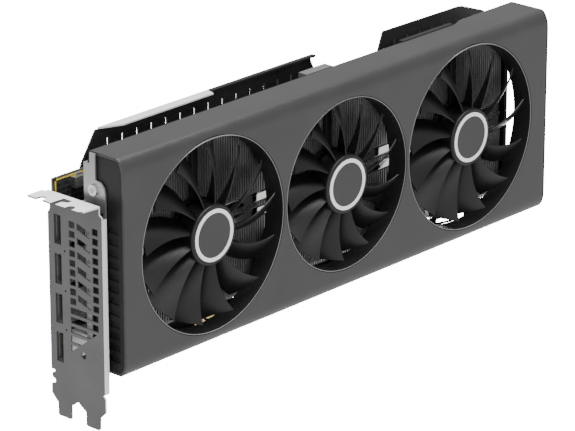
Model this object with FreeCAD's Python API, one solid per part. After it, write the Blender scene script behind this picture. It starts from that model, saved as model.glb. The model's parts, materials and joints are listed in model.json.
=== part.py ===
"""Triple-fan graphics card, built as separate named pieces, one STEP file each.

Everything is modelled in the bracket datum: X runs along the card from the
outer face of the slot bracket, Y = 0 is the bracket's back edge with the fans
facing -Y, and Z = 0 is the top of the bracket's bent tab.  save() moves each
piece to the row frame, whose origin is the key notch of the edge connector.
Millimetres throughout.
"""
import FreeCAD, Part
import math
import os

os.makedirs("parts", exist_ok=True)
V = FreeCAD.Vector
AX, AY, AZ = V(1, 0, 0), V(0, 1, 0), V(0, 0, 1)

# ---- row frame: key notch centre, bottom of the contacts, middle of the board
KEY_X, BOARD_MID_Y, CONTACT_Z = 57.2, -2.75, -104.85

# ---- circuit board
BOARD_T = 1.6
BOARD_FRONT = BOARD_MID_Y - BOARD_T / 2        # component face
BOARD_BACK = BOARD_MID_Y + BOARD_T / 2
BOARD_X0, BOARD_X1 = 1.2, 258.0
BOARD_TOP, BOARD_BOTTOM = 6.3, -96.6
KEY_W, SHORT_W, LONG_W = 1.9, 11.65, 71.65     # contact sections and the key
HOOK_GAP, HOOK_W = 3.0, 8.0

# ---- shroud
SH_X0, SH_X1 = 7.5, 338.2
SH_TOP, SH_BOTTOM = 24.4, -90.8
SH_FRONT, SH_BACK_TOP, SH_BACK_BOTTOM = -46.4, -23.7, -33.3
SH_T = 1.6
ROUND_Y, ROUND_TOP, ROUND_BOTTOM = 5.4, 10.5, 8.8

# ---- fans: (centre X, opening radius, blade tip radius, tip angle of blade 1)
FAN_Z = -32.3
FANS = [(71.4, 52.25, 47.0, 95.3), (172.8, 47.5, 42.2, 103.0), (274.0, 52.25, 47.0, 95.3)]
BLADES = 13
BLADE_SPAN_DEG, BLADE_T = 18.5, 1.0
BLADE_SWEEP_DEG = 12.5
BLADE_FRONT, TIP_DEPTH, ROOT_DEPTH = -45.4, 11.0, 11.4
HUB_R, HUB_WALL, HUB_FRONT, HUB_BACK = 16.1, 1.6, -46.1, -35.2
RING_R0, RING_R1 = 11.8, 13.87
DUCT_BACK, DUCT_T, DUCT_GAP = -34.5, 0.6, 0.25
BASE_FRONT, BASE_BACK, BASE_R = -33.2, -31.2, 17.0
SHAFT_R, BEARING_GAP, BEARING_R = 1.5, 0.05, 3.4

# ---- cooler
FIN_FRONT, FIN_BACK_MAIN, FIN_BACK_TAIL = -29.6, -10.2, -2.6
FIN_T, FIN_PITCH, FIN_BASE = 0.45, 1.75, 0.8
FIN_Z0, FIN_Z1 = -80.0, 13.0
MAIN_X0, MAIN_X1, TAIL_X0, TAIL_X1 = 16.0, 257.0, 261.0, 320.0
PIPE_W, PIPE_T, PIPE_Z = 6.0, 3.0, (-29.5, -37.5)
GPU_X, GPU_Z = 120.0, -38.0

# ---- backplate
BP_IN, BP_T = 1.4, 1.2
BP_OUT = BP_IN + BP_T
SLOT_PITCH, SLOT_X, SLOT_W, SLOT_TOP = 10.493, 44.75, 1.3, 15.6
EAR_SCREW_Z = (5.0, -80.0)
SCREW_POINTS = [(34, -2), (34, -88), (150, 0), (150, -86), (212, -86), (250, 0), (250, -86)]
CLAMP_POINTS = [(GPU_X + dx, GPU_Z + dz) for dx in (-22, 22) for dz in (-22, 22)]

# ---- slot bracket
BR_T = 0.9
TAB_OUT = -11.43
PORTS_Z = [(-26.7, -11.3), (-48.0, -32.0), (-69.0, -53.4), (-90.0, -74.2)]
PORT_Y0, PORT_Y1 = -9.2, -4.6
VENT_TOP, VENT_PITCH, VENT_H = -12.4, 5.1, 3.5


def box(x0, x1, y0, y1, z0, z1):
    """Block between two corners, in any order."""
    x0, x1 = sorted((x0, x1))
    y0, y1 = sorted((y0, y1))
    z0, z1 = sorted((z0, z1))
    return Part.makeBox(x1 - x0, y1 - y0, z1 - z0, V(x0, y0, z0))


def cyl(radius, start, length, axis):
    """Cylinder from a start point along an axis."""
    return Part.makeCylinder(radius, length, V(*start), axis)


def tube(r_out, r_in, start, length, axis):
    """Ring or sleeve."""
    return cyl(r_out, start, length, axis).cut(cyl(r_in, start, length, axis))


def prism(points, direction):
    """Closed polygon of 3-D points pushed along a vector."""
    pts = [V(*p) for p in points]
    return Part.Face(Part.makePolygon(pts + [pts[0]])).extrude(V(*direction))


def plate_yz(points, x0, x1):
    """Polygon given as (Y, Z) between two X planes."""
    return prism([(x0, y, z) for y, z in points], (x1 - x0, 0, 0))


def plate_xz(points, y0, y1):
    """Polygon given as (X, Z) between two Y planes."""
    return prism([(x, y0, z) for x, z in points], (0, y1 - y0, 0))


def plate_xy(points, z0, z1):
    """Polygon given as (X, Y) between two Z planes."""
    return prism([(x, y, z0) for x, y in points], (0, 0, z1 - z0))


def cord(points, radius, bend):
    """Round lead: straight runs through the points, joined by tangent arcs."""
    pts = [V(*p) for p in points]
    edges, start = [], pts[0]
    for a, b, c in zip(pts, pts[1:], pts[2:]):
        u, w = (b - a).normalize(), (c - b).normalize()
        turn = u.getAngle(w)
        reach = bend * math.tan(turn / 2)
        t0, t1 = b - u * reach, b + w * reach
        middle = (w - u).normalize()
        top = b + middle * (bend / math.cos(turn / 2) - bend)
        edges += [Part.LineSegment(start, t0).toShape(), Part.Arc(t0, top, t1).toShape()]
        start = t1
    edges.append(Part.LineSegment(start, pts[-1]).toShape())
    profile = Part.Wire(Part.Circle(pts[0], pts[1] - pts[0], radius).toShape())
    path = Part.Wire(edges)
    body = path.makePipeShell([profile], True, False)
    print("  lead length %.1f, volume ratio %.3f"
          % (path.Length, body.Volume / (math.pi * radius ** 2 * path.Length)))
    return body


def group(shapes):
    """Several separate solids kept as one node."""
    return Part.makeCompound(shapes)


def save(name, shape):
    """Write one node, moved to the row frame."""
    moved = shape.copy()
    moved.translate(V(-KEY_X, -BOARD_MID_Y, -CONTACT_Z))
    moved.exportStep("parts/%s.step" % name)
    print(name, "solids", len(moved.Solids), "valid", moved.isValid())


# ------------------------------------------------------------------ shroud
def corner(y_mid, z_mid, a, b, inward):
    """Points of a quarter ellipse from the flat side to the front face."""
    turn = [math.radians(90 * i / 8.0) for i in range(9)]
    return [V(0, y_mid - a * math.sin(t), z_mid + inward * b * math.cos(t)) for t in turn]


def curve(points):
    """Smooth edge through points."""
    spline = Part.BSplineCurve()
    spline.interpolate(points)
    return spline.toShape()


def shell_profile(t, back_top, back_bottom):
    """Outline of the shroud's section at inset t, as connected edges."""
    y_mid = SH_FRONT + ROUND_Y
    top = corner(y_mid, SH_TOP - ROUND_TOP, ROUND_Y - t, ROUND_TOP - t, 1)
    low = corner(y_mid, SH_BOTTOM + ROUND_BOTTOM, ROUND_Y - t, ROUND_BOTTOM - t, -1)
    low.reverse()
    first = V(0, back_top, SH_TOP - t)
    last = V(0, back_bottom, SH_BOTTOM + t)
    edges = [Part.makeLine(first, top[0]), curve(top), Part.makeLine(top[-1], low[0])]
    edges += [curve(low), Part.makeLine(low[-1], last)]
    return edges, first, last


def shroud():
    outer, a, b = shell_profile(0.0, SH_BACK_TOP, SH_BACK_BOTTOM)
    inner, c, d = shell_profile(SH_T, SH_BACK_TOP, SH_BACK_BOTTOM)
    edges = outer + [Part.makeLine(b, d)] + inner[::-1] + [Part.makeLine(c, a)]
    wire = Part.Wire(Part.__sortEdges__(edges))
    body = Part.Face(wire).extrude(V(SH_X1 - SH_X0, 0, 0))
    body.translate(V(SH_X0, 0, 0))
    wedge = [(286, SH_BACK_TOP - 1), (286, SH_BACK_TOP), (293, -20.6), (SH_X1, -20.0),
             (SH_X1, SH_BACK_TOP - 1)]
    body = body.fuse(plate_xy(wedge, SH_TOP - SH_T, SH_TOP))
    for x, opening, _tip, _angle in FANS:
        body = body.cut(cyl(opening, (x, -48, FAN_Z), 8, AY))
    save("shroud", body.removeSplitter())


def filled_section(x0, x1, t, back):
    """Solid slice of the shroud's outline at inset t, closed at Y = back."""
    edges, a, b = shell_profile(t, back, back)
    wire = Part.Wire(Part.__sortEdges__(edges + [Part.makeLine(b, a)]))
    body = Part.Face(wire).extrude(V(x1 - x0, 0, 0))
    body.translate(V(x0, 0, 0))
    return body


def inner_frame():
    gap = 0.1
    left = filled_section(7.7, 9.1, SH_T + gap, -30.0).fuse(
        box(7.7, 9.1, -30.0, -21.5, SH_BOTTOM + SH_T + 3.2, SH_TOP - SH_T - 3.4))
    for i in range(12):
        z = -84.0 + 6.2 * i
        left = left.cut(box(7, 8.4, -41.8, -31.0, z, z + 3.4))
    for z in EAR_SCREW_Z:
        left = left.cut(cyl(1.3, (7, -27, z), 4, AX))
    face = box(7.7, 336, -43.6, -42.2, -87.0, 20.2)
    for x, opening, _tip, _angle in FANS:
        face = face.cut(cyl(opening - DUCT_GAP, (x, -48, FAN_Z), 8, AY))
    rail = box(7.7, SH_X1, -34, -22.4, SH_TOP - SH_T - 1.2, SH_TOP - SH_T - gap)
    lip = box(7.7, SH_X1, SH_BACK_TOP + gap, -22.4, SH_TOP - SH_T - 1.2, SH_TOP - 0.5)
    lip = lip.cut(box(28.0, 32.5, -24, -22, SH_TOP - SH_T, SH_TOP + 1))
    raised = box(243, 285, SH_BACK_TOP + gap, -20.4, SH_TOP - SH_T - 1.2, SH_TOP + 0.3)
    low = box(7.7, SH_X1, -34, -28.7, SH_BOTTOM + SH_T + gap, SH_BOTTOM + SH_T + 1.4)
    guard = box(9.0, 320.7, -29.4, -28.7, SH_BOTTOM + SH_T + 0.4, FIN_Z0 - 0.2)
    guard = guard.cut(box(74, 290, -30, -28, -87.1, -84.9)).cut(box(266, 290, -30, -28, -87.1, -82.2))
    tie = box(7.7, 9.1, -34, -22.4, SH_TOP - SH_T - 4, SH_TOP - SH_T - gap)
    foot = box(7.7, 9.1, -34, -30.5, SH_BOTTOM + SH_T + gap, SH_BOTTOM + SH_T + 4)
    tail = filled_section(SH_X1, SH_X1 + 0.9, 0.0, -20.0)
    tail = tail.fuse(box(SH_X1, SH_X1 + 0.9, -20.0, -8.0, -84, 10))
    tail = tail.cut(box(330, 345, -38, -9.5, -80, -4))
    bar = box(320.6, 323.0, -31.5, -2.6, -82.0, 12.0)
    post = box(320.6, 323.0, -31.5, -27.0, 11.0, SH_TOP - SH_T - 0.6)
    sill = box(320.6, SH_X1, -34, -30.5, SH_BOTTOM + SH_T + gap, -81.0)
    cap = box(320.6, SH_X1, -30.5, -20.5, 17.5, SH_TOP - SH_T - gap)
    body = left
    for piece in (face, rail, lip, raised, low, guard, tie, foot, tail, bar, post, sill, cap):
        body = body.fuse(piece)
    wedge = [(285.5, -24.5), (285.5, SH_BACK_TOP), (293, -20.5), (SH_X1, -19.9), (SH_X1, -24.5)]
    body = body.cut(plate_xy(wedge, SH_TOP - SH_T - 0.05, SH_TOP + 0.01))
    save("inner_frame", body.removeSplitter())


# -------------------------------------------------------------------- fans
def blade(tip_r, tip_deg):
    """One swept, twisted blade lofted through flat sections."""
    root_r = HUB_R - HUB_WALL + 0.75
    wires = []
    for k in range(5):
        f = k / 4.0
        r = root_r + (tip_r - root_r) * f
        front = tip_deg - BLADE_SWEEP_DEG * (1 - f ** 1.5)
        mid = math.radians(front - BLADE_SPAN_DEG / 2)
        half = r * math.tan(math.radians(BLADE_SPAN_DEG / 2))
        depth = ROOT_DEPTH + (TIP_DEPTH - ROOT_DEPTH) * f
        radial = V(math.cos(mid), 0, math.sin(mid))
        along = V(-math.sin(mid), 0, math.cos(mid))
        slope = math.hypot(2 * half, depth)
        side = along * (depth / slope) + AY * (2 * half / slope)
        near, far = [], []
        for i in range(5):
            t = i / 4.0
            thick = BLADE_T * (0.55 + 0.9 * t * (1 - t)) / 2
            y = BLADE_FRONT + 0.5 + (depth - 1.0) * (t - 0.10 * math.sin(math.pi * t))
            p = radial * r + along * (half * (1 - 2 * t) * 0.97) + V(0, y, 0)
            near.append(p - side * thick)
            far.append(p + side * thick)
        far.reverse()
        edges = [curve(near), Part.makeLine(near[-1], far[0]), curve(far),
                 Part.makeLine(far[-1], near[0])]
        wires.append(Part.Wire(edges))
    return Part.makeLoft(wires, True, False)


def fan_rotor(x, tip_r, tip_deg):
    hub = cyl(HUB_R, (0, HUB_FRONT, 0), HUB_BACK - HUB_FRONT, AY)
    rim = [e for e in hub.Edges if abs(e.BoundBox.YMax - HUB_FRONT) < 1e-6 and e.Length > 50]
    hub = hub.makeFillet(1.2, rim)
    hub = hub.cut(cyl(HUB_R - HUB_WALL, (0, HUB_FRONT + HUB_WALL, 0), 20, AY))
    hub = hub.cut(cyl(SHAFT_R, (0, HUB_FRONT + 0.8, 0), 5, AY))
    one = blade(tip_r, tip_deg)
    body = hub
    for i in range(BLADES):
        turned = one.copy()
        turned.rotate(V(0, 0, 0), AY, 360.0 * i / BLADES)
        body = body.fuse(turned)
    body.translate(V(x, 0, FAN_Z))
    return body


def stator():
    """Laminated core with nine wound poles."""
    body = tube(7.5, BEARING_R + 0.1, (0, -42.6, 0), BASE_FRONT + 42.6, AY)
    for i in range(9):
        pole = box(7.2, 12.2, -42.0, -36.2, -1.3, 1.3)
        shoe = box(12.0, 13.2, -42.6, -35.6, -3.0, 3.0)
        arm = pole.fuse(shoe)
        arm.rotate(V(0, 0, 0), AY, 40.0 * i)
        body = body.fuse(arm)
    return body


def fan_base(opening):
    """Motor base with three struts reaching the duct."""
    inner = opening - DUCT_GAP - DUCT_T
    body = cyl(BASE_R, (0, BASE_FRONT, 0), BASE_BACK - BASE_FRONT, AY)
    for i in range(3):
        strut = box(0, inner + 1.5, BASE_FRONT, BASE_BACK, -2.2, 2.2)
        strut = strut.fuse(box(inner, inner + 1.5, DUCT_BACK, BASE_BACK, -2.2, 2.2))
        strut.rotate(V(0, 0, 0), AY, 30.0 + 120.0 * i)
        body = body.fuse(strut)
    return body.cut(cyl(BEARING_R, (0, -40, 0), 12, AY))


def fan_set(n, x, opening, tip_r, tip_deg):
    rotor = fan_rotor(x, tip_r, tip_deg)
    save("fan_rotor_%d" % n, rotor)
    ring = tube(RING_R1, RING_R0, (x, HUB_FRONT - 0.3, FAN_Z), 0.3, AY)
    save("hub_ring_%d" % n, ring)
    save("fan_shaft_%d" % n, cyl(SHAFT_R, (x, HUB_FRONT + 0.8, FAN_Z), 13.2, AY))
    sleeve = tube(BEARING_R, SHAFT_R + BEARING_GAP, (x, -43.4, FAN_Z), BASE_BACK + 43.4, AY)
    save("fan_bearing_%d" % n, sleeve)
    core = stator()
    core.translate(V(x, 0, FAN_Z))
    save("fan_stator_%d" % n, core)
    base = fan_base(opening)
    base.translate(V(x, 0, FAN_Z))
    save("fan_base_%d" % n, base)
    r = opening - DUCT_GAP
    duct = tube(r, r - DUCT_T, (x, SH_FRONT + 0.3, FAN_Z), DUCT_BACK - SH_FRONT - 0.3, AY)
    duct = duct.common(filled_section(x - 60, x + 60, 0.3, -20.0))
    save("fan_duct_%d" % n, duct)


# ------------------------------------------------------------------ cooler
def comb(x0, x1, back):
    """Vertical fins standing on a thin base, as one folded stack."""
    points = [(x0, back), (x0, FIN_FRONT)]
    x = x0
    while x + FIN_PITCH + FIN_T <= x1:
        points += [(x + FIN_T, FIN_FRONT), (x + FIN_T, back - FIN_BASE)]
        x += FIN_PITCH
        points += [(x, back - FIN_BASE), (x, FIN_FRONT)]
    points += [(x + FIN_T, FIN_FRONT), (x + FIN_T, back)]
    return plate_xy(points, FIN_Z0, FIN_Z1)


def cooler():
    main = comb(MAIN_X0, MAIN_X1, FIN_BACK_MAIN)
    tail = comb(TAIL_X0, TAIL_X1, FIN_BACK_TAIL)
    main = main.cut(box(200.5, 246, -16.5, 0, -3, 20)).cut(box(174, 202, -16.5, 0, 6, 20))
    for z in PIPE_Z:
        groove = box(80.0, 330, FIN_FRONT - 1, FIN_FRONT + PIPE_T, z - PIPE_W / 2, z + PIPE_W / 2)
        main = main.cut(groove)
        tail = tail.cut(groove)
    save("fin_stack_main", main)
    save("fin_stack_tail", tail)
    for n, z in enumerate(PIPE_Z, 1):
        pipe = box(80.0, 318.0, FIN_FRONT, FIN_FRONT + PIPE_T, z - PIPE_W / 2, z + PIPE_W / 2)
        ends = [e for e in pipe.Edges if e.Length > 200]
        save("heat_pipe_%d" % n, pipe.makeFillet(1.2, ends))
    for n, x in ((3, 46.0), (4, 246.0)):
        leg = cord([(x, -22.0, FIN_Z0), (x, -22.0, -85.2), (x, -13.0, -85.2),
                    (x, -13.0, FIN_Z0)], 2.0, 3.2)
        save("heat_pipe_%d" % n, leg)
    plate = box(GPU_X - 27, GPU_X + 27, FIN_BACK_MAIN, -5.6, GPU_Z - 27, GPU_Z + 27)
    save("cold_plate", plate)
    skirt = box(40, 164, -7.4, -5.4, -86, 4)
    skirt = skirt.cut(box(GPU_X - 27.2, GPU_X + 27.2, -12, -4, GPU_Z - 27.2, GPU_Z + 27.2))
    for x in (44, 154):
        for z in (-84, -6):
            skirt = skirt.fuse(box(x, x + 6, FIN_BACK_MAIN, -7.4, z, z + 6))
    save("memory_plate", skirt)
    sink = box(166, 252, FIN_BACK_MAIN, -9.0, -74, -6)
    for i in range(9):
        sink = sink.fuse(box(214 + 4.5 * i, 215.2 + 4.5 * i, -9.1, -7.4, -74, -6))
    tab = plate_xz([(176, 8), (176, 20.2), (196.5, 20.2), (199.5, 18), (199.5, 8)], -14.5, -8.6)
    arm = box(188, 199.5, FIN_BACK_MAIN, -9.0, -8, 8.6)
    save("vrm_heatsink", sink.fuse(arm).fuse(tab).removeSplitter())


# --------------------------------------------------------- board and its parts
def pcb():
    short0 = KEY_X - KEY_W / 2 - SHORT_W
    long1 = KEY_X + KEY_W / 2 + LONG_W
    hook = long1 + HOOK_GAP
    outline = [(BOARD_X0, BOARD_TOP), (BOARD_X0, BOARD_BOTTOM), (short0, BOARD_BOTTOM),
               (short0, CONTACT_Z + 1), (short0 + 1, CONTACT_Z),
               (KEY_X - KEY_W / 2, CONTACT_Z), (KEY_X - KEY_W / 2, BOARD_BOTTOM + 0.6),
               (KEY_X + KEY_W / 2, BOARD_BOTTOM + 0.6), (KEY_X + KEY_W / 2, CONTACT_Z),
               (long1 - 1, CONTACT_Z), (long1, CONTACT_Z + 1), (long1, BOARD_BOTTOM + 2),
               (hook, BOARD_BOTTOM + 2), (hook, -101.0), (hook + 2.5, -104.0),
               (hook + HOOK_W, -104.0), (hook + HOOK_W, BOARD_BOTTOM),
               (BOARD_X1, BOARD_BOTTOM), (BOARD_X1, BOARD_TOP)]
    body = plate_xz(outline, BOARD_FRONT, BOARD_BACK)
    for x, z in SCREW_POINTS + CLAMP_POINTS:
        body = body.cut(cyl(1.5, (x, -6, z), 6, AY))
    save("pcb", body)


def edge_contacts():
    short0 = KEY_X - KEY_W / 2 - SHORT_W
    pads = []
    for start, width in ((short0 + 0.6, SHORT_W - 1.2), (KEY_X + KEY_W / 2 + 0.6, LONG_W - 1.2)):
        for i in range(int(width)):
            x = start + 0.15 + i
            pads.append(box(x, x + 0.7, BOARD_FRONT - 0.05, BOARD_FRONT, CONTACT_Z + 0.8, -98.2))
            pads.append(box(x, x + 0.7, BOARD_BACK, BOARD_BACK + 0.05, CONTACT_Z + 0.8, -98.2))
    save("edge_contacts", group(pads))


def on_board(x, z, w, h, tall, lift=0.0):
    """Block standing on the component face."""
    y = BOARD_FRONT - lift
    return box(x - w / 2, x + w / 2, y - tall, y, z - h / 2, z + h / 2)


def components():
    save("gpu_package", on_board(GPU_X, GPU_Z, 40, 40, 1.3))
    save("gpu_die", on_board(GPU_X, GPU_Z, 24, 20, 0.75, 1.3))
    chips = [on_board(GPU_X + dx, GPU_Z + dz, 12, 14, 1.1)
             for dx in (-37, 37) for dz in (-24, -6, 12)]
    chips += [on_board(GPU_X + dx, GPU_Z - 39, 14, 12, 1.1) for dx in (-10, 10)]
    save("memory_chips", group(chips))
    pads = [box(c.BoundBox.XMin + 1, c.BoundBox.XMax - 1, -5.4, c.BoundBox.YMin,
                c.BoundBox.ZMin + 1, c.BoundBox.ZMax - 1) for c in chips]
    save("thermal_pads", group(pads))
    chokes = [on_board(180, z, 6.5, 6.5, 3.4) for z in range(-70, 1, 10)]
    chokes += [on_board(222, z, 6.5, 6.5, 3.4) for z in range(-70, -5, 10)]
    save("power_inductors", group(chokes))
    cans = [cyl(3.1, (193, BOARD_FRONT, z), 4.6, V(0, -1, 0)) for z in range(-70, 1, 10)]
    cans += [cyl(3.1, (30, BOARD_FRONT, z), 4.6, V(0, -1, 0)) for z in (-78, -68, -58)]
    save("capacitors", group(cans))
    stages = [on_board(234, z, 6, 5, 1.0) for z in range(-70, -5, 10)]
    stages += [on_board(170, z, 6, 5, 1.0) for z in range(-70, 1, 10)]
    save("power_transistors", group(stages))
    header = on_board(255, -86, 5, 12, 5.5).cut(on_board(255, -86, 3.2, 10.2, 4.2, 1.4))
    save("fan_header", header)


def power_connector(n, x):
    """Eight-way socket at the board's top edge, mouths up."""
    body = box(x, x + 18.4, BOARD_FRONT - 10.6, BOARD_FRONT, -1.0, 12.6)
    for i in range(4):
        for j in range(2):
            px, py = x + 1.3 + 4.2 * i, BOARD_FRONT - 9.6 + 4.6 * j
            body = body.cut(box(px, px + 3.3, py, py + 3.6, 1.5, 13))
            body = body.fuse(box(px + 1.3, px + 2.0, py + 1.45, py + 2.15, 1.2, 9.5))
    latch = box(x + 6.6, x + 11.8, BOARD_FRONT - 12.0, BOARD_FRONT - 10.4, 6.5, 8.0)
    save("power_connector_%d" % n, body.fuse(latch))


def video_port(n, z0, z1, d_shape):
    """Metal shell with a contact tongue, mouth on the bracket side."""
    body = box(1.3, 19.0, PORT_Y0 - 0.6, BOARD_FRONT, z0 - 0.6, z1 + 0.6)
    mouth = [(PORT_Y0, z0), (PORT_Y1, z0), (PORT_Y1, z1), (PORT_Y0, z1)]
    if d_shape:
        mouth = [(PORT_Y0, z0 + 1.6), (PORT_Y0 + 1.6, z0), (PORT_Y1, z0), (PORT_Y1, z1),
                 (PORT_Y0 + 1.6, z1), (PORT_Y0, z1 - 1.6)]
    else:
        mouth = [(PORT_Y0, z0), (PORT_Y1, z0), (PORT_Y1, z1 - 1.8), (PORT_Y1 - 1.8, z1),
                 (PORT_Y0, z1)]
    body = body.cut(plate_yz(mouth, 0, 14))
    y = (PORT_Y0 + PORT_Y1) / 2
    tongue = box(3.5, 14.5, y - 0.6, y + 0.6, z0 + 2.2, z1 - 2.2)
    save("digital_video_port_%d" % n, body.fuse(tongue))


def switch():
    """Two-position slide switch by the bracket."""
    body = box(13, 22, BOARD_FRONT - 3.6, BOARD_FRONT, -1, 4.6)
    body = body.cut(box(14.9, 20.6, BOARD_FRONT - 2.6, BOARD_FRONT - 1.0, 2.2, 5))
    save("switch_body", body)
    lever = box(15.1, 18.4, BOARD_FRONT - 2.5, BOARD_FRONT - 1.1, 2.3, 6.2)
    save("switch_slider", lever)


def fan_leads():
    """Leads from the motor bases, below the fins, to the board's header."""
    leads = []
    for i, (x, _opening, _tip, _angle) in enumerate(FANS):
        y = -27.6 + 2.2 * i
        end_z = -83.5 - 2.6 * i
        path = [(x + 8, -30.4, FAN_Z - 10), (x + 8, -30.4, -86.0), (255.0, y, -86.0),
                (255.0, -9.3, end_z)]
        leads.append(cord(path, 0.6, 4.5))
    save("fan_leads", group(leads))


# --------------------------------------------------------------- backplate
def backplate():
    outline = [(26, 6.3), (24, 0), (24, -88), (338, -88), (342, -84), (342, 14.1),
               (323.9, 20.7), (319.9, 21.4), (255.8, 21.8), (251.2, 10.5), (199.6, 10.5),
               (199, 15.5), (196, 21.6), (36.2, 21.6)]
    body = plate_xz(outline, BP_IN, BP_OUT)
    lip = box(118.6, 199.0, BP_IN - 1.6, BP_OUT, 21.5, 22.5)
    body = body.fuse(lip)
    for i in list(range(14)) + list(range(21, 28)):
        x = SLOT_X + SLOT_PITCH * i
        low = 2.0 if i < 20 else -70.0
        body = body.cut(box(x - SLOT_W / 2, x + SLOT_W / 2, 0, 4, low, SLOT_TOP))
    body = body.cut(box(GPU_X - 28, GPU_X + 28, 0, 4, GPU_Z - 28, GPU_Z + 28))
    for i in range(5):
        body = body.cut(box(166 + 7 * i, 168.4 + 7 * i, 0, 4, -66, -14))
    for x, z in SCREW_POINTS:
        body = body.fuse(cyl(3.2, (x, BOARD_BACK, z), BP_IN - BOARD_BACK + 0.1, AY))
        body = body.cut(cyl(1.4, (x, -3, z), 8, AY))
    save("backplate", body.removeSplitter())
    strip = [(38.8, BP_IN - 0.02), (50.6, -3.7), (116.4, -3.7), (118.4, BP_OUT), (38.8, BP_OUT)]
    save("backplate_trim", plate_xy(strip, 21.6, 22.4))


def clamp_and_screws():
    y = BOARD_BACK + 0.3
    arms = box(GPU_X - 31, GPU_X + 31, y, y + 1.0, GPU_Z - 3, GPU_Z + 3)
    cross = arms.copy()
    arms.rotate(V(GPU_X, 0, GPU_Z), AY, 45)
    cross.rotate(V(GPU_X, 0, GPU_Z), AY, -45)
    body = arms.fuse(cross).fuse(box(GPU_X - 12, GPU_X + 12, y, y + 1.0, GPU_Z - 12, GPU_Z + 12))
    for dx in (-22, 22):
        for dz in (-22, 22):
            body = body.fuse(cyl(5.0, (GPU_X + dx, y, GPU_Z + dz), 1.0, AY))
    body = body.cut(box(GPU_X - 6, GPU_X + 6, y - 1, y + 3, GPU_Z - 6, GPU_Z + 6))
    for x, z in CLAMP_POINTS:
        body = body.cut(cyl(1.4, (x, y - 1, z), 4, AY))
    save("die_clamp", body)
    screws = []
    for x, z in SCREW_POINTS:
        screws.append(screw((x, BP_OUT, z), AY, 2.4, 1.0, 1.2, BP_OUT - BOARD_FRONT - 0.2))
    for x, z in CLAMP_POINTS:
        screws.append(screw((x, y + 1.0, z), AY, 2.6, 0.9, 1.2, y + 1.0 - BOARD_FRONT - 0.1))
    save("backplate_screws", group(screws))


def screw(seat, axis, head_r, head_h, shank_r, length):
    """Cross-recess screw: head outward along axis, shank the other way."""
    s = V(*seat)
    body = Part.makeCylinder(head_r, head_h, s, axis)
    body = body.fuse(Part.makeCylinder(shank_r, length, s, axis * -1))
    side = AZ if abs(axis.z) < 0.5 else AX
    other = axis.cross(side)
    for long_dir, thin_dir in ((side, other), (other, side)):
        low = s + axis * (head_h * 0.5) - long_dir * (head_r * 0.6) - thin_dir * 0.25
        a = [low, low + long_dir * (head_r * 1.2), low + long_dir * (head_r * 1.2) + thin_dir * 0.5,
             low + thin_dir * 0.5]
        body = body.cut(Part.Face(Part.makePolygon(a + [a[0]])).extrude(axis * head_h))
    return body


# ------------------------------------------------------------- slot bracket
def bracket_vents():
    """Generic vents: short side slots, slanted middle slots, wide slots with a slanted foot."""
    cuts = []
    for i in range(9):
        z = VENT_TOP - VENT_PITCH * i
        for y0, y1 in ((-19.0, -15.0), (-35.2, -31.2)):
            cuts.append([(y0, z), (y1, z), (y1, z - VENT_H), (y0, z - VENT_H)])
    for i in range(6):
        z = VENT_TOP - 7.6 * i
        cuts.append([(-20.6, z), (-29.6, z - 2.6), (-29.6, z - 6.2), (-20.6, z - 3.6)])
    for i in range(9, 14):
        z = VENT_TOP - VENT_PITCH * i
        high = max(-34.6, -14.8 - (z + 82.5) * 1.324)
        low = max(-34.6, -14.8 - (z - VENT_H + 82.5) * 1.324)
        cuts.append([(-15.0, z), (high, z), (low, z - VENT_H), (-15.0, z - VENT_H)])
    return cuts


def slot_bracket():
    plate = [(-0.2, 0), (-0.2, -6.5), (-1.8, -7), (-1.8, -9), (-0.2, -11.5), (-0.2, -95.5),
             (-2.7, -95.5), (-2.7, -96.8), (-0.8, -97.6), (-0.8, -99.6), (-3.0, -100.7),
             (-3.0, -102.4), (-0.2, -103.6), (-0.2, -108.5), (-4.2, -112.6), (-4.6, -112.6),
             (-4.6, -119.0), (-5.4, -119.8), (-13.3, -119.8), (-14.1, -119.0), (-14.1, -112.4),
             (-18.9, -108.8), (-24.6, -112.6), (-24.6, -119.2), (-25.4, -120.02),
             (-33.5, -120.02), (-34.3, -119.2), (-34.6, -113), (-38.6, -109.1),
             (-38.5, -101.6), (-36.6, -100.2), (-37.4, -100), (-38.3, -99.6), (-38.3, -6.5),
             (-38.4, -5.6), (-36.4, -4.4), (-36.4, 0)]
    body = plate_yz(plate, 0, BR_T)
    tab = [(BR_T, -0.2), (-1.2, -0.2), (-1.2, 2.0), (TAB_OUT, 2.0), (TAB_OUT, -4.24),
           (-9.4, -4.24), (-7.9, -4.9), (-7.2, -6.45), (-7.9, -8.0), (-9.4, -8.66),
           (TAB_OUT, -8.66), (TAB_OUT, -14.7), (-5.4, -14.7), (-5.4, -15.0), (-2.7, -15.0),
           (-2.7, -20.9), (-5.4, -20.9), (-7.0, -17.7), (TAB_OUT, -17.7), (TAB_OUT, -24.56),
           (-9.4, -24.56), (-7.9, -25.2), (-7.2, -26.77), (-7.9, -28.3), (-9.4, -28.98),
           (TAB_OUT, -28.98), (TAB_OUT, -33.3), (-10, -35.5), (-1.2, -36.4), (BR_T, -36.4)]
    body = body.fuse(plate_xy(tab, -BR_T, 0))
    body = body.fuse(box(0, 3.4, -38.3, -37.4, -99.6, -6.5))
    for z0, z1 in PORTS_Z:
        body = body.cut(box(-1, 2, PORT_Y0 - 0.1, PORT_Y1 + 0.1, z0 - 0.1, z1 + 0.1))
    for outline in bracket_vents():
        body = body.cut(plate_yz(outline, -1, 2))
    body = body.cut(cyl(1.75, (-1, -23.7, -82.3), 3, AX))
    for z in (-29.4, -50.7, -71.6):
        body = body.cut(cyl(0.6, (-1, -11.8, z), 3, AX))
    save("slot_bracket", body.removeSplitter())


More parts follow.
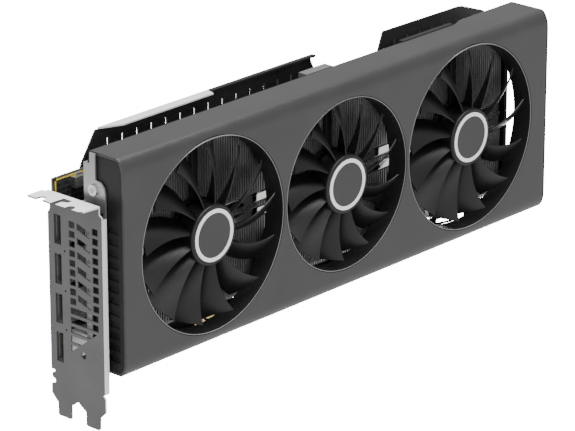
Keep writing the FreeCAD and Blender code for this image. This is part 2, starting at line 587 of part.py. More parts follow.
def bracket_ear():
    plate = [(-20, -92), (-20, 18), (-24.2, 18), (-24.2, 23.8), (-28, 23.8), (-28, 10.2),
             (-31.6, 9.6), (-34.0, 7.2), (-34.7, 4.4), (-34.7, -92)]
    body = plate_yz(plate, 6.2, 7.2)
    body = body.fuse(box(BR_T, 7.2, -21.0, -20.0, -8.0, -2.0))
    body = body.fuse(box(BR_T, 7.2, -21.0, -20.0, -92.0, -84.0))
    body = body.cut(box(6, 8, -33.0, -24.0, -74, -6))
    for z in EAR_SCREW_Z:
        body = body.cut(cyl(1.3, (5, -27, z), 4, AX))
    save("bracket_ear", body.removeSplitter())
    save("bracket_screws", group([screw((6.2, -27, z), V(-1, 0, 0), 2.9, 1.3, 1.2, 5.0)
                                  for z in EAR_SCREW_Z]))


def main():
    shroud()
    inner_frame()
    for n, (x, opening, tip_r, tip_deg) in enumerate(FANS, 1):
        fan_set(n, x, opening, tip_r, tip_deg)
    cooler()
    pcb()
    edge_contacts()
    components()
    power_connector(1, 203.0)
    power_connector(2, 225.0)
    for n, (z0, z1) in enumerate(PORTS_Z, 1):
        video_port(n, z0, z1, n == 1)
    switch()
    fan_leads()
    backplate()
    clamp_and_screws()
    slot_bracket()
    bracket_ear()


main()
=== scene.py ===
"""Visual model of a desktop graphics card with a long grey shroud and three fans.

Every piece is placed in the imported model's frame, in metres.  Sizes are held in
millimetres from the slot bracket's datum and moved to the frame by ``at``.
"""
from __future__ import annotations

import json
import logging
import math
import random
from dataclasses import dataclass, field
from enum import Enum
from typing import Sequence

import bmesh
import bpy
from mathutils import Matrix, Vector

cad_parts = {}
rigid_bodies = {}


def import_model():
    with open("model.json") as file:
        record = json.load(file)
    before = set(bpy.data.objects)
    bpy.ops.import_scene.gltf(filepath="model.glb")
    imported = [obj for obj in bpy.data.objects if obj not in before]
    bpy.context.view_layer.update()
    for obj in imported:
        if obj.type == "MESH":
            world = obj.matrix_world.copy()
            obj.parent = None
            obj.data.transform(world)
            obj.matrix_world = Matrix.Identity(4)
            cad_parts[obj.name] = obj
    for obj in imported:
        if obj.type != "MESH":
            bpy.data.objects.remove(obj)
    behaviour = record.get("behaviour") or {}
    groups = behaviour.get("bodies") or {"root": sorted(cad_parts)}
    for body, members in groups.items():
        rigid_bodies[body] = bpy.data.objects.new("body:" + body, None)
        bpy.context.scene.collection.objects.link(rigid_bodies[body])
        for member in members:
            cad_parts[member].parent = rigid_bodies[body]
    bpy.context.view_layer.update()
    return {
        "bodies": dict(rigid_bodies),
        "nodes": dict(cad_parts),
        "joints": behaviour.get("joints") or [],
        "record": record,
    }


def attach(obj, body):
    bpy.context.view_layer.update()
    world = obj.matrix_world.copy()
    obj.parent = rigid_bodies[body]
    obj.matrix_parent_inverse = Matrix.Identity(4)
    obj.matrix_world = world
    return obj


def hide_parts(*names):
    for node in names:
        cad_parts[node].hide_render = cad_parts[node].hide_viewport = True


LOG = logging.getLogger("graphics_card")
DATUM = Vector((-57.2, 2.75, 104.85))
MM = 0.001
WHITE = (1.0, 1.0, 1.0, 1.0)
BLACK = (0.0, 0.0, 0.0, 1.0)
TRACK_MORTAR = (0.5, 0.5, 0.5, 1.0)
TRACK_COPPER = (0.055, 0.06, 0.055, 1.0)
BUMP_HEIGHT_M = 0.0002


def at(x: float, y: float, z: float) -> Vector:
    """Point in the frame, in metres, of a bracket-datum point in millimetres."""
    return (Vector((x, y, z)) + DATUM) * MM


class Body(Enum):
    """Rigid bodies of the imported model."""

    CARD = "card"
    FAN_1 = "fan_1"
    FAN_2 = "fan_2"
    FAN_3 = "fan_3"
    LEVER = "switch_lever"


class Surface(Enum):
    """Ways a finish is broken up over its surface."""

    GRAIN = "grain"
    BRUSHED = "brushed"
    BOARD = "board"
    WOUND = "wound"


@dataclass(frozen=True)
class Finish:
    """One physical finish and the procedural material that shows it."""

    name: str
    colour: tuple[float, float, float]
    tint: tuple[float, float, float]
    roughness: float = 0.5
    metallic: float = 0.0
    surface: Surface = Surface.GRAIN
    grain_mm: float = 0.6
    cloud_mm: float = 30.0
    bump: float = 0.05
    spread: float = 0.06
    coat: float = 0.0
    specular: float = 0.5

    def material(self) -> bpy.types.Material:
        """Build the material once and return it.

        Returns:
            The Blender material of this finish.
        """
        known = bpy.data.materials.get(self.name)
        if known is not None:
            return known
        mat = bpy.data.materials.new(self.name)
        mat.use_nodes = True
        tree = mat.node_tree
        shader = tree.nodes["Principled BSDF"]
        shader.inputs["Metallic"].default_value = self.metallic
        shader.inputs["Coat Weight"].default_value = self.coat
        shader.inputs["Specular IOR Level"].default_value = self.specular
        coords = tree.nodes.new("ShaderNodeTexCoord")
        fine = self._noise(tree, coords, self._fine_scale(), 3.0)
        cloud = self._noise(tree, coords, (1.0 / (self.cloud_mm * MM),) * 3, 2.0)
        mix = self._mix(tree, cloud, self.colour, self.tint)
        if self.surface is Surface.BOARD:
            mix = self._tracks(tree, coords, mix)
        tree.links.new(mix, shader.inputs["Base Color"])
        self._rough(tree, fine, shader)
        self._bump(tree, fine, shader)
        return mat

    def _fine_scale(self) -> tuple[float, float, float]:
        """Work out how often the small grain repeats.

        Returns:
            Repeats per metre along X, Y and Z.
        """
        fine = 1.0 / (self.grain_mm * MM)
        if self.surface is Surface.BRUSHED:
            return (fine * 0.04, fine, fine)
        if self.surface is Surface.WOUND:
            return (fine, fine * 0.1, fine)
        return (fine, fine, fine)

    def _noise(self, tree: bpy.types.NodeTree, coords: bpy.types.Node,
               scale: tuple[float, float, float], detail: float) -> bpy.types.NodeSocket:
        """Noise on Object coordinates.

        Args:
            tree: Node tree of the material.
            coords: Texture Coordinate node.
            scale: Repeats per metre along each axis.
            detail: Octaves of the noise.

        Returns:
            The noise's factor socket.
        """
        place = tree.nodes.new("ShaderNodeMapping")
        place.inputs["Scale"].default_value = scale
        noise = tree.nodes.new("ShaderNodeTexNoise")
        noise.inputs["Scale"].default_value = 1.0
        noise.inputs["Detail"].default_value = detail
        tree.links.new(coords.outputs["Object"], place.inputs["Vector"])
        tree.links.new(place.outputs["Vector"], noise.inputs["Vector"])
        return noise.outputs["Fac"]

    def _mix(self, tree: bpy.types.NodeTree, factor: bpy.types.NodeSocket,
             first: Sequence[float], second: Sequence[float]) -> bpy.types.NodeSocket:
        """Blend two colours by a factor.

        Args:
            tree: Node tree of the material.
            factor: Socket that chooses between the colours.
            first: Colour at 0.
            second: Colour at 1.

        Returns:
            The colour socket.
        """
        ramp = tree.nodes.new("ShaderNodeValToRGB")
        ramp.color_ramp.elements[0].position = 0.35
        ramp.color_ramp.elements[0].color = (*first, 1.0)
        ramp.color_ramp.elements[1].position = 0.65
        ramp.color_ramp.elements[1].color = (*second, 1.0)
        tree.links.new(factor, ramp.inputs["Fac"])
        return ramp.outputs["Color"]

    def _tracks(self, tree: bpy.types.NodeTree, coords: bpy.types.Node,
                base: bpy.types.NodeSocket) -> bpy.types.NodeSocket:
        """Faint copper tracks under a board's lacquer.

        Args:
            tree: Node tree of the material.
            coords: Texture Coordinate node.
            base: Colour of the lacquer.

        Returns:
            The colour with tracks laid over it.
        """
        place = tree.nodes.new("ShaderNodeMapping")
        place.inputs["Rotation"].default_value = (math.radians(90), 0.0, 0.0)
        brick = tree.nodes.new("ShaderNodeTexBrick")
        brick.inputs["Scale"].default_value = 90.0
        brick.inputs["Mortar Size"].default_value = 0.035
        brick.inputs["Color1"].default_value = BLACK
        brick.inputs["Color2"].default_value = BLACK
        brick.inputs["Mortar"].default_value = TRACK_MORTAR
        lay = tree.nodes.new("ShaderNodeMix")
        lay.data_type = "RGBA"
        lay.inputs["B"].default_value = TRACK_COPPER
        tree.links.new(coords.outputs["Object"], place.inputs["Vector"])
        tree.links.new(place.outputs["Vector"], brick.inputs["Vector"])
        tree.links.new(brick.outputs["Color"], lay.inputs["Factor"])
        tree.links.new(base, lay.inputs["A"])
        return lay.outputs["Result"]

    def _rough(self, tree: bpy.types.NodeTree, fine: bpy.types.NodeSocket,
               shader: bpy.types.Node) -> None:
        """Vary the roughness a little with the grain.

        Args:
            tree: Node tree of the material.
            fine: Factor of the small grain.
            shader: Shader whose roughness is set.
        """
        band = tree.nodes.new("ShaderNodeMapRange")
        band.inputs["To Min"].default_value = max(0.02, self.roughness - self.spread)
        band.inputs["To Max"].default_value = min(1.0, self.roughness + self.spread)
        tree.links.new(fine, band.inputs["Value"])
        tree.links.new(band.outputs["Result"], shader.inputs["Roughness"])

    def _bump(self, tree: bpy.types.NodeTree, fine: bpy.types.NodeSocket,
              shader: bpy.types.Node) -> None:
        """Raise the grain a little.

        Args:
            tree: Node tree of the material.
            fine: Factor of the small grain.
            shader: Shader whose normal is set.
        """
        bump = tree.nodes.new("ShaderNodeBump")
        bump.inputs["Strength"].default_value = self.bump
        bump.inputs["Distance"].default_value = BUMP_HEIGHT_M
        tree.links.new(fine, bump.inputs["Height"])
        tree.links.new(bump.outputs["Normal"], shader.inputs["Normal"])


SHROUD_GREY = Finish("shroud_grey_powder", (0.056, 0.056, 0.057), (0.061, 0.061, 0.062), 0.36,
                     0.45, bump=0.10, grain_mm=0.35, spread=0.04)
FRAME_BLACK = Finish("frame_black_plastic", (0.006, 0.006, 0.0065), (0.009, 0.009, 0.0095), 0.5,
                     bump=0.08, specular=0.35)
FAN_BLACK = Finish("fan_satin_black", (0.004, 0.004, 0.0042), (0.0055, 0.0055, 0.0058), 0.40,
                   bump=0.03, grain_mm=1.2, specular=0.4)
HUB_GREY = Finish("hub_disc_grey", (0.034, 0.034, 0.035), (0.038, 0.038, 0.039), 0.5, bump=0.02)
RING_WHITE = Finish("hub_ring_white", (0.93, 0.93, 0.92), (0.96, 0.96, 0.95), 0.45, bump=0.02)
RIM_GREY = Finish("duct_rim_grey", (0.22, 0.22, 0.222), (0.26, 0.26, 0.262), 0.35, 0.3, bump=0.02)
FIN_METAL = Finish("fin_dark_metal", (0.46, 0.46, 0.465), (0.54, 0.54, 0.545), 0.42, 0.8,
                   surface=Surface.BRUSHED, bump=0.04)
NICKEL = Finish("pipe_nickel", (0.50, 0.50, 0.49), (0.56, 0.56, 0.55), 0.42, 1.0, bump=0.02)
COPPER = Finish("bare_copper", (0.55, 0.27, 0.15), (0.62, 0.33, 0.20), 0.3, 1.0, bump=0.03)
STEEL = Finish("bright_steel", (0.62, 0.62, 0.63), (0.70, 0.70, 0.71), 0.28, 1.0,
               surface=Surface.BRUSHED, bump=0.03)
BRASS = Finish("sleeve_brass", (0.72, 0.55, 0.27), (0.78, 0.60, 0.30), 0.3, 1.0, bump=0.03)
WINDING = Finish("winding_copper", (0.42, 0.16, 0.07), (0.55, 0.23, 0.10), 0.35, 0.9,
                 surface=Surface.WOUND, grain_mm=0.4, bump=0.3)
BOARD = Finish("board_lacquer", (0.010, 0.011, 0.011), (0.015, 0.016, 0.016), 0.28,
               surface=Surface.BOARD, bump=0.04, coat=0.3)
GOLD = Finish("contact_gold", (0.92, 0.66, 0.22), (0.96, 0.72, 0.28), 0.3, 0.8, bump=0.02)
CHIP = Finish("chip_epoxy", (0.016, 0.016, 0.017), (0.022, 0.022, 0.023), 0.55, bump=0.12)
SILICON = Finish("die_silicon", (0.10, 0.11, 0.13), (0.14, 0.15, 0.18), 0.08, 0.8, bump=0.01)
CHOKE = Finish("choke_ferrite", (0.07, 0.07, 0.072), (0.10, 0.10, 0.102), 0.6, bump=0.25)
CAN = Finish("capacitor_can", (0.58, 0.58, 0.60), (0.66, 0.66, 0.68), 0.3, 0.95, bump=0.03)
PAD = Finish("thermal_pad", (0.28, 0.31, 0.38), (0.33, 0.36, 0.43), 0.8, bump=0.2)
PLATE_BLACK = Finish("backplate_black", (0.011, 0.011, 0.012), (0.015, 0.015, 0.016), 0.48,
                     0.2, bump=0.10, grain_mm=0.4)
TRIM_SILVER = Finish("folded_strip_silver", (0.80, 0.80, 0.80), (0.86, 0.86, 0.86), 0.4, 0.3,
                     surface=Surface.BRUSHED, bump=0.04)
BRACKET_GREY = Finish("bracket_satin_grey", (0.12, 0.12, 0.121), (0.14, 0.14, 0.141), 0.42, 0.5,
                      bump=0.06)
# Painted highlight: the bracket's own metal made near white to stand in for light reflected off
# its folded faces.
BRACKET_PAINTED_HIGHLIGHT = Finish("bracket_painted_highlight", (0.86, 0.86, 0.86), (0.92, 0.92, 0.92), 0.5, 0.2,
                        bump=0.04)
BORDER = Finish("board_border_ochre", (0.72, 0.50, 0.06), (0.80, 0.57, 0.09), 0.35, 0.2, bump=0.02)
EAR_METAL = Finish("ear_plain_metal", (0.34, 0.34, 0.34), (0.40, 0.40, 0.40), 0.36, 0.75,
                   surface=Surface.BRUSHED, bump=0.05)
PORT_METAL = Finish("port_shell", (0.50, 0.50, 0.50), (0.58, 0.58, 0.58), 0.34, 0.9, bump=0.03)
SOCKET = Finish("socket_nylon", (0.018, 0.018, 0.019), (0.024, 0.024, 0.025), 0.5, bump=0.08)
LEAD = Finish("lead_sleeve", (0.010, 0.010, 0.011), (0.016, 0.016, 0.017), 0.65, bump=0.3,
              surface=Surface.WOUND, grain_mm=0.5)
TAB_GREY = Finish("heatsink_tab_grey", (0.17, 0.17, 0.172), (0.20, 0.20, 0.202), 0.45, 0.6,
                  bump=0.05)

CARRIED: dict[str, Finish] = {
    "inner_frame": FRAME_BLACK, "cold_plate": COPPER, "memory_plate": FIN_METAL,
    "vrm_heatsink": TAB_GREY, "edge_contacts": GOLD, "gpu_package": BOARD, "gpu_die": SILICON,
    "memory_chips": CHIP, "thermal_pads": PAD, "power_inductors": CHOKE, "capacitors": CAN,
    "power_transistors": CHIP, "fan_header": SOCKET, "power_connector_1": SOCKET,
    "power_connector_2": SOCKET, "switch_body": STEEL, "switch_slider": STEEL,
    "fan_leads": LEAD, "die_clamp": STEEL, "backplate_screws": STEEL, "bracket_screws": STEEL,
    "heat_pipe_1": NICKEL, "heat_pipe_2": NICKEL, "heat_pipe_3": NICKEL, "heat_pipe_4": COPPER,
    "pcb": BOARD, "backplate_trim": TRIM_SILVER, "fin_stack_main": FIN_METAL,
    "fin_stack_tail": FIN_METAL,
}


@dataclass
class Workshop:
    """Makes, dresses and mounts pieces."""

    frame: dict
    made: list[str] = field(default_factory=list)

    def piece(self, name: str, mesh: bmesh.types.BMesh, finish: Finish, body: Body,
              smooth_deg: float = 35.0) -> bpy.types.Object:
        """Turn a bmesh into a finished piece riding on a body.

        Args:
            name: Name of the piece.
            mesh: Geometry in the frame, in metres; freed here.
            finish: Finish of the whole piece.
            body: Body that carries the piece.
            smooth_deg: Edges sharper than this stay crisp.

        Returns:
            The new object.
        """
        bmesh.ops.recalc_face_normals(mesh, faces=mesh.faces)
        limit = math.radians(smooth_deg)
        for edge in mesh.edges:
            edge.smooth = edge.calc_face_angle(0.0) < limit
        for face in mesh.faces:
            face.smooth = True
        data = bpy.data.meshes.new(name)
        mesh.to_mesh(data)
        mesh.free()
        data.materials.append(finish.material())
        obj = bpy.data.objects.new(name, data)
        bpy.context.scene.collection.objects.link(obj)
        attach(obj, body.value)
        self.made.append(name)
        LOG.info("%s: %d faces on %s", name, len(data.polygons), body.value)
        return obj

    def refined(self, node: str, finish: Finish, body: Body, edge_mm: float = 0.0,
                smooth_deg: float = 35.0) -> bpy.types.Object:
        """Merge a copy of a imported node, round its edges and show it instead.

        Args:
            node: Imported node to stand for.
            finish: Finish of the piece.
            body: Body that carries the node.
            edge_mm: Width of the rounded edges, 0 for none.
            smooth_deg: Edges sharper than this stay crisp.

        Returns:
            The piece that replaces the node.
        """
        mesh = bmesh.new()
        mesh.from_mesh(self.frame["nodes"][node].data)
        bmesh.ops.remove_doubles(mesh, verts=mesh.verts, dist=2e-6)
        bmesh.ops.dissolve_limit(mesh, angle_limit=math.radians(0.4), verts=mesh.verts,
                                 edges=mesh.edges)
        if edge_mm > 0.0:
            sharp = [e for e in mesh.edges if len(e.link_faces) == 2
                     and e.calc_face_angle(0.0) > math.radians(40)]
            bmesh.ops.bevel(mesh, geom=sharp, offset=edge_mm * MM, offset_type="OFFSET",
                            segments=2, profile=0.5, affect="EDGES", clamp_overlap=True,
                            material=-1)
        obj = self.piece(node + "_finished", mesh, finish, body, smooth_deg)
        normal = obj.modifiers.new("even_shading", "WEIGHTED_NORMAL")
        normal.keep_sharp = True
        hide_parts(node)
        return obj

    def dress(self, node: str, finish: Finish) -> None:
        """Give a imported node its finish.

        Args:
            node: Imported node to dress.
            finish: Finish of the whole node.
        """
        data = self.frame["nodes"][node].data
        data.materials.clear()
        data.materials.append(finish.material())


def block(mesh: bmesh.types.BMesh, low: Vector, high: Vector) -> list[bmesh.types.BMVert]:
    """Add a block between two corners.

    Args:
        mesh: Mesh to add to.
        low: Lowest corner, in metres.
        high: Highest corner, in metres.

    Returns:
        The block's vertices.
    """
    size = high - low
    place = Matrix.Translation((low + high) / 2) @ Matrix.Diagonal((*size, 1.0))
    return bmesh.ops.create_cube(mesh, size=1.0, matrix=place)["verts"]


def soften(mesh: bmesh.types.BMesh, width_mm: float, segments: int = 2) -> None:
    """Round every edge of a mesh.

    Args:
        mesh: Mesh whose edges are rounded.
        width_mm: Width of the rounding in millimetres.
        segments: Steps across the rounding.
    """
    bmesh.ops.bevel(mesh, geom=list(mesh.edges), offset=width_mm * MM, offset_type="OFFSET",
                    segments=segments, profile=0.5, affect="EDGES", clamp_overlap=True,
                    material=-1)


def ring(mesh: bmesh.types.BMesh, centre: Vector, radius: float,
         section: Sequence[tuple[float, float]], steps: int = 128) -> None:
    """Spin a closed section round an axis along Y.

    Args:
        mesh: Mesh to add to.
        centre: Centre of the ring, in metres.
        radius: Radius in metres that the section's first number is added to.
        section: Points (radial, along Y) in metres.
        steps: Steps of the turn.
    """
    verts = [mesh.verts.new(centre + Vector((radius + r, y, 0.0))) for r, y in section]
    edges = [mesh.edges.new((a, b)) for a, b in zip(verts, verts[1:] + verts[:1])]
    bmesh.ops.spin(mesh, geom=verts + edges, cent=centre, axis=(0.0, 1.0, 0.0),
                   angle=2 * math.pi, steps=steps, use_merge=True, use_duplicate=False)
    bmesh.ops.remove_doubles(mesh, verts=mesh.verts, dist=1e-6)


@dataclass
class Shroud:
    """Grey outer cover, black inner frame and the ducts round the fans."""

    shop: Workshop
    fans: tuple[tuple[float, float], ...] = ((71.4, 52.25), (172.8, 47.5), (274.0, 52.25))
    fan_z: float = -32.3
    bead_wide: float = 0.3
    bead_deep: float = 0.28
    bead_front: float = -45.95
    bead_inset: float = 0.55

    def build(self) -> None:
        """Make the cover, the ducts and their bright rims."""
        self.shop.refined("shroud", SHROUD_GREY, Body.CARD, 0.25)
        for number, (x, opening) in enumerate(self.fans, 1):
            self.shop.refined(f"fan_duct_{number}", FRAME_BLACK, Body.CARD, 0.0)
            self.rim(number, x, opening)

    def rim(self, number: int, x: float, opening: float) -> None:
        """Make the thin bright bead on the front edge of a duct.

        Args:
            number: Number of the fan.
            x: Centre of the fan along X, in millimetres.
            opening: Radius of the shroud's opening, in millimetres.
        """
        mesh = bmesh.new()
        bead = [(self.bead_wide * MM * math.cos(a), self.bead_deep * MM * math.sin(a))
                for a in (i * math.pi / 4 for i in range(8))]
        ring(mesh, at(x, self.bead_front, self.fan_z), (opening - self.bead_inset) * MM, bead)
        self.shop.piece(f"duct_rim_{number}", mesh, RIM_GREY, Body.CARD, 60)


@dataclass
class Fans:
    """Three bladed rotors with their hubs, motors and bases."""

    shop: Workshop
    centres: tuple[float, ...] = (71.4, 172.8, 274.0)
    fan_z: float = -32.3
    disc_r: float = 11.6
    disc_front: float = -46.38
    disc_thick: float = 0.28

    def build(self) -> None:
        """Make every fan."""
        bodies = (Body.FAN_1, Body.FAN_2, Body.FAN_3)
        for number, (x, body) in enumerate(zip(self.centres, bodies), 1):
            self.shop.refined(f"fan_rotor_{number}", FAN_BLACK, body, 0.0, 40)
            self.shop.dress(f"hub_ring_{number}", RING_WHITE)
            self.shop.dress(f"fan_shaft_{number}", STEEL)
            self.shop.dress(f"fan_bearing_{number}", BRASS)
            self.shop.dress(f"fan_stator_{number}", WINDING)
            self.shop.refined(f"fan_base_{number}", FRAME_BLACK, Body.CARD, 0.3)
            self.disc(number, x, body)

    def disc(self, number: int, x: float, body: Body) -> None:
        """Make the plain disc in the middle of a hub.

        Args:
            number: Number of the fan.
            x: Centre of the fan along X, in millimetres.
            body: Body that carries the disc.
        """
        mesh = bmesh.new()
        section = [(0.0, 0.0), (self.disc_r * MM - 0.2 * MM, 0.0), (self.disc_r * MM, 0.15 * MM),
                   (self.disc_r * MM, self.disc_thick * MM), (0.0, self.disc_thick * MM)]
        ring(mesh, at(x, self.disc_front, self.fan_z), 0.0, section, 96)
        self.shop.piece(f"hub_disc_{number}", mesh, HUB_GREY, body, 30)


@dataclass
class Board:
    """Circuit board with its lacquer border and small parts."""

    shop: Workshop
    front_y: float = -3.55
    top_z: float = 6.3
    left_x: float = 1.2
    border_end_x: float = 170
    tiny_parts: int = 110
    tiny_high: float = 0.8

    def build(self) -> None:
        """Make the board's border lines and small parts."""
        self.border()
        self.small_parts()

    def border(self) -> None:
        """Thin gold ground line near the top and left edges."""
        mesh = bmesh.new()
        y0, y1 = self.front_y - 0.05, self.front_y
        block(mesh, at(self.left_x + 1.1, y0, self.top_z - 1.5),
              at(self.border_end_x, y1, self.top_z - 0.6))
        block(mesh, at(self.left_x + 1.1, y0, -90), at(self.left_x + 2.0, y1, self.top_z - 0.6))
        self.shop.piece("board_border", mesh, BORDER, Body.CARD)

    def small_parts(self) -> None:
        """Rows of tiny ceramic parts along the board's free strips."""
        rng = random.Random(7)
        mesh, ends = bmesh.new(), bmesh.new()
        for _ in range(self.tiny_parts):
            x, z = rng.uniform(24, 168), rng.uniform(-94, 2)
            if 38 < x < 166 and -87 < z < 5:
                continue
            long = rng.choice((1.0, 1.6))
            block(mesh, at(x, self.front_y - 0.6, z),
                  at(x + long, self.front_y, z + self.tiny_high))
            for side in (x - 0.25, x + long):
                block(ends, at(side, self.front_y - 0.62, z),
                      at(side + 0.25, self.front_y, z + self.tiny_high))
        self.shop.piece("small_parts", mesh, CHOKE, Body.CARD)
        self.shop.piece("small_part_ends", ends, STEEL, Body.CARD)


@dataclass
class Backplate:
    """Slotted black plate with a bright folded strip."""

    shop: Workshop
    ribs_wanted: int = 7
    rib_x: float = 214
    rib_pitch: float = 4.2
    rib_wide: float = 1.2
    rib_lean_deg: float = 14

    def build(self) -> None:
        """Round the plate's edges and add its pressed ribs."""
        self.shop.refined("backplate", PLATE_BLACK, Body.CARD, 0.15)
        self.ribs()

    def ribs(self) -> None:
        """Slanted pressed ribs on the outer face."""
        mesh = bmesh.new()
        for i in range(self.ribs_wanted):
            x = self.rib_x + self.rib_pitch * i
            verts = block(mesh, at(x, 2.55, -78), at(x + self.rib_wide, 2.95, -20))
            bmesh.ops.rotate(mesh, verts=verts, cent=at(x, 2.6, -50),
                             matrix=Matrix.Rotation(math.radians(self.rib_lean_deg), 3, "Y"))
        soften(mesh, 0.15)
        self.shop.piece("backplate_ribs", mesh, PLATE_BLACK, Body.CARD)


@dataclass
class Bracket:
    """Slot bracket, ear and video ports."""

    shop: Workshop
    ports: tuple[tuple[float, float], ...] = ((-26.7, -11.3), (-48.0, -32.0), (-69.0, -53.4),
                                             (-90.0, -74.2))

    def build(self) -> None:
        """Make the bracket, the ear and the ports with their pins."""
        self.paint_highlight(self.shop.refined("slot_bracket", BRACKET_GREY, Body.CARD, 0.1))
        self.shop.refined("bracket_ear", EAR_METAL, Body.CARD, 0.12)
        for number, (z0, z1) in enumerate(self.ports, 1):
            self.shop.refined(f"digital_video_port_{number}", PORT_METAL, Body.CARD, 0.0)
            self.pins(number, z0, z1)

    def paint_highlight(self, obj: bpy.types.Object) -> None:
        """Paint a highlight on the folded tab's top and the folded long edge: the bracket's own
        metal, made brighter by face direction to stand in for the light it reflects.

        Args:
            obj: The finished bracket.
        """
        obj.data.materials.append(BRACKET_PAINTED_HIGHLIGHT.material())
        tab, edge = at(0.0, 0.0, -2.0).z, at(0.0, -35.6, 0.0).y
        for face in obj.data.polygons:
            up = face.normal.z > 0.5 and face.center.z > tab
            side = face.normal.y < -0.5 and face.center.y < edge
            # Upward faces of the tab and forward faces of the long edge get the painted highlight.
            if up or side:
                face.material_index = 1

    def pins(self, number: int, z0: float, z1: float) -> None:
        """Make the gold contacts along both sides of a port's tongue.

        Args:
            number: Number of the port.
            z0: Lower end of the port, in millimetres.
            z1: Upper end of the port, in millimetres.
        """
        mesh = bmesh.new()
        count = int((z1 - z0 - 5.4) / 1.0)
        for i in range(count):
            z = z0 + 2.9 + i
            for y in (-7.56, -6.32):
                block(mesh, at(4.0, y, z), at(12.0, y + 0.08, z + 0.5))
        self.shop.piece(f"port_pins_{number}", mesh, GOLD, Body.CARD)


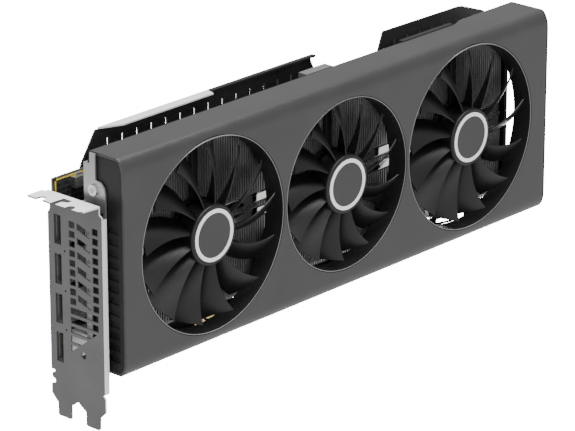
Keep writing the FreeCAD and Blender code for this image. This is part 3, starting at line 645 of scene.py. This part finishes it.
@dataclass
class Studio:
    """Floor, soft lights and the camera."""

    eye: tuple[float, float, float] = (-1144.862, -1203.086, 605.689)
    forward: tuple[float, float, float] = (0.69124, 0.62907, -0.35561)
    lens_mm: float = 223.4
    drop: float = 2.4
    paper_half: float = 60.0
    paper_grey: float = 0.30
    paper_glow: float = 0.95
    backdrop_glow: float = 16.0
    backdrop_turn_deg: float = -42.3
    backdrop_start: tuple[float, float] = (4.1, 5.1)
    backdrop_side: tuple[float, float] = (2.0, 1.25)
    world_glow: float = 0.5

    def build(self) -> None:
        """Set up the whole studio."""
        self.floor()
        self.world()
        self.camera()
        self.lamp("top_softbox", (0.1, -0.1, 1.5), (0.1, 0.0, 0.1), 1.6, 60.0)
        self.lamp("front_softbox", (-0.7, -1.6, 0.5), (0.1, 0.0, 0.07), 1.2, 10.0)
        self.lamp("left_softbox", (-1.7, -0.2, 0.5), (0.0, 0.0, 0.07), 0.9, 4.0)

    def floor(self) -> None:
        """Plain pale floor well below the part."""
        mesh = bmesh.new()
        bmesh.ops.create_grid(mesh, x_segments=8, y_segments=8, size=self.paper_half,
                              matrix=Matrix.Translation((0.0, 0.0, -self.drop)))
        data = bpy.data.meshes.new("studio_floor")
        mesh.to_mesh(data)
        mesh.free()
        mat = bpy.data.materials.new("studio_paper")
        mat.use_nodes = True
        shader = mat.node_tree.nodes["Principled BSDF"]
        shader.inputs["Base Color"].default_value = (*(self.paper_grey,) * 3, 1.0)
        shader.inputs["Roughness"].default_value = 0.9
        shader.inputs["Emission Color"].default_value = WHITE
        self.glow(mat.node_tree, shader)
        data.materials.append(mat)
        obj = bpy.data.objects.new("studio_floor", data)
        bpy.context.scene.collection.objects.link(obj)

    def glow(self, tree: bpy.types.NodeTree, shader: bpy.types.Node) -> None:
        """Light the paper brightly behind the part and softly before it.

        Args:
            tree: Node tree of the paper.
            shader: Shader whose emission is set.
        """
        coords = tree.nodes.new("ShaderNodeTexCoord")
        turn = tree.nodes.new("ShaderNodeMapping")
        turn.inputs["Rotation"].default_value = (0.0, 0.0, math.radians(self.backdrop_turn_deg))
        split = tree.nodes.new("ShaderNodeSeparateXYZ")
        far = self.fade(tree, split.outputs["X"], *self.backdrop_start)
        aside = tree.nodes.new("ShaderNodeMath")
        aside.operation = "ABSOLUTE"
        near = self.fade(tree, aside.outputs["Value"], *self.backdrop_side)
        both = tree.nodes.new("ShaderNodeMath")
        both.operation = "MULTIPLY"
        level = tree.nodes.new("ShaderNodeMapRange")
        level.inputs["To Min"].default_value = self.paper_glow
        level.inputs["To Max"].default_value = self.backdrop_glow
        tree.links.new(coords.outputs["Object"], turn.inputs["Vector"])
        tree.links.new(turn.outputs["Vector"], split.inputs["Vector"])
        tree.links.new(split.outputs["Y"], aside.inputs[0])
        tree.links.new(far, both.inputs[0])
        tree.links.new(near, both.inputs[1])
        tree.links.new(both.outputs["Value"], level.inputs["Value"])
        tree.links.new(level.outputs["Result"], shader.inputs["Emission Strength"])

    def fade(self, tree: bpy.types.NodeTree, value: bpy.types.NodeSocket, dark: float,
             bright: float) -> bpy.types.NodeSocket:
        """Ramp a distance to 0 at one end and 1 at the other.

        Args:
            tree: Node tree of the paper.
            value: Distance in metres.
            dark: Distance where the ramp is 0.
            bright: Distance where the ramp is 1.

        Returns:
            The ramp's socket.
        """
        band = tree.nodes.new("ShaderNodeMapRange")
        band.inputs["From Min"].default_value = dark
        band.inputs["From Max"].default_value = bright
        tree.links.new(value, band.inputs["Value"])
        return band.outputs["Result"]

    def world(self) -> None:
        """Even pale light from all round."""
        world = bpy.data.worlds.new("studio_world")
        world.use_nodes = True
        back = world.node_tree.nodes["Background"]
        back.inputs["Color"].default_value = WHITE
        back.inputs["Strength"].default_value = self.world_glow
        bpy.context.scene.world = world

    def camera(self) -> None:
        """Long-lens camera looking down at the bracket end."""
        data = bpy.data.cameras.new("camera")
        data.sensor_width = 36.0
        data.lens = self.lens_mm
        data.shift_x, data.shift_y = -0.0005, 0.0363
        data.clip_end = 200.0
        obj = bpy.data.objects.new("camera", data)
        ahead = Vector(self.forward).normalized()
        right = ahead.cross(Vector((0.0, 0.0, 1.0))).normalized()
        up = right.cross(ahead)
        turn = Matrix((right, up, -ahead)).transposed().to_4x4()
        obj.matrix_world = Matrix.Translation(at(*self.eye)) @ turn
        bpy.context.scene.collection.objects.link(obj)
        bpy.context.scene.camera = obj

    def lamp(self, name: str, place: Sequence[float], aim: Sequence[float], size: float,
             power: float) -> None:
        """Large square light aimed at a point.

        Args:
            name: Name of the light.
            place: Position in metres.
            aim: Point it faces, in metres.
            size: Side of the square in metres.
            power: Power in watts.
        """
        data = bpy.data.lights.new(name, "AREA")
        data.shape = "SQUARE"
        data.size = size
        data.energy = power
        obj = bpy.data.objects.new(name, data)
        look = Vector(aim) - Vector(place)
        obj.matrix_world = (Matrix.Translation(Vector(place))
                            @ look.to_track_quat("-Z", "Y").to_matrix().to_4x4())
        bpy.context.scene.collection.objects.link(obj)


def main() -> None:
    """Build the card and the studio, and log each piece's face count."""
    logging.basicConfig(level=logging.INFO, format="%(name)s %(message)s")
    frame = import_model()
    shop = Workshop(frame)
    for node, finish in CARRIED.items():
        shop.dress(node, finish)
    for part in (Shroud(shop), Fans(shop), Board(shop), Backplate(shop), Bracket(shop)):
        part.build()
        LOG.info("%s done", type(part).__name__)
    Studio().build()


if __name__ == "__main__":
    main()
